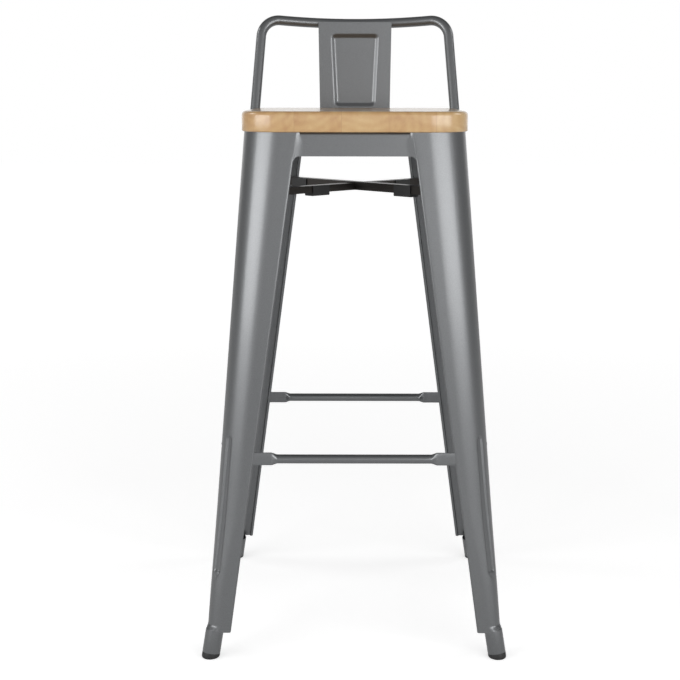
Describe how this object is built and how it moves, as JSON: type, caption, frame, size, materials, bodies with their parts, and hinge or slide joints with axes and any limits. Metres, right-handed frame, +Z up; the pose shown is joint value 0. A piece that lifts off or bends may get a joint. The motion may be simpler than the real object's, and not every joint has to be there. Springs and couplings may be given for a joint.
{
  "type": "bar stool",
  "caption": "Backed bar stool: pressed sheet-steel legs, tubular footrest ring, crossed brace under the seat, square timber pad and a low bent-tube back with a pressed splat.",
  "frame": {"origin": "middle of the four feet, on the floor", "axes": "+Z up; the low back stands at +Y, so whoever sits faces -Y; +X is to the right for a viewer who looks along +Y"},
  "size_m": [0.4318, 0.4318, 0.9014],
  "materials": {
    "painted_steel": "semi-gloss metallic gunmetal powder coat",
    "timber": "clear satin lacquer on light timber staves",
    "black_plastic": "moulded, matt",
    "black_rubber": "moulded, matt",
    "bare_steel": "zinc plated"
  },
  "bodies": {
    "root": {"seat_pad": "timber", "seat_pan": "painted_steel", "leg_front_left": "painted_steel", "leg_front_right": "painted_steel", "leg_rear_left": "painted_steel", "leg_rear_right": "painted_steel", "footrest_front": "painted_steel", "footrest_rear": "painted_steel", "footrest_left": "painted_steel", "footrest_right": "painted_steel", "brace_bar_lower": "painted_steel", "brace_bar_upper": "painted_steel", "brace_pad_front_left": "black_plastic", "brace_pad_front_right": "black_plastic", "brace_pad_rear_left": "black_plastic", "brace_pad_rear_right": "black_plastic", "foot_cap_front_left": "black_rubber", "foot_cap_front_right": "black_rubber", "foot_cap_rear_left": "black_rubber", "foot_cap_rear_right": "black_rubber", "backrest_hoop": "painted_steel", "backrest_splat": "painted_steel", "pad_screws": "bare_steel"}
  },
  "joints": []
}
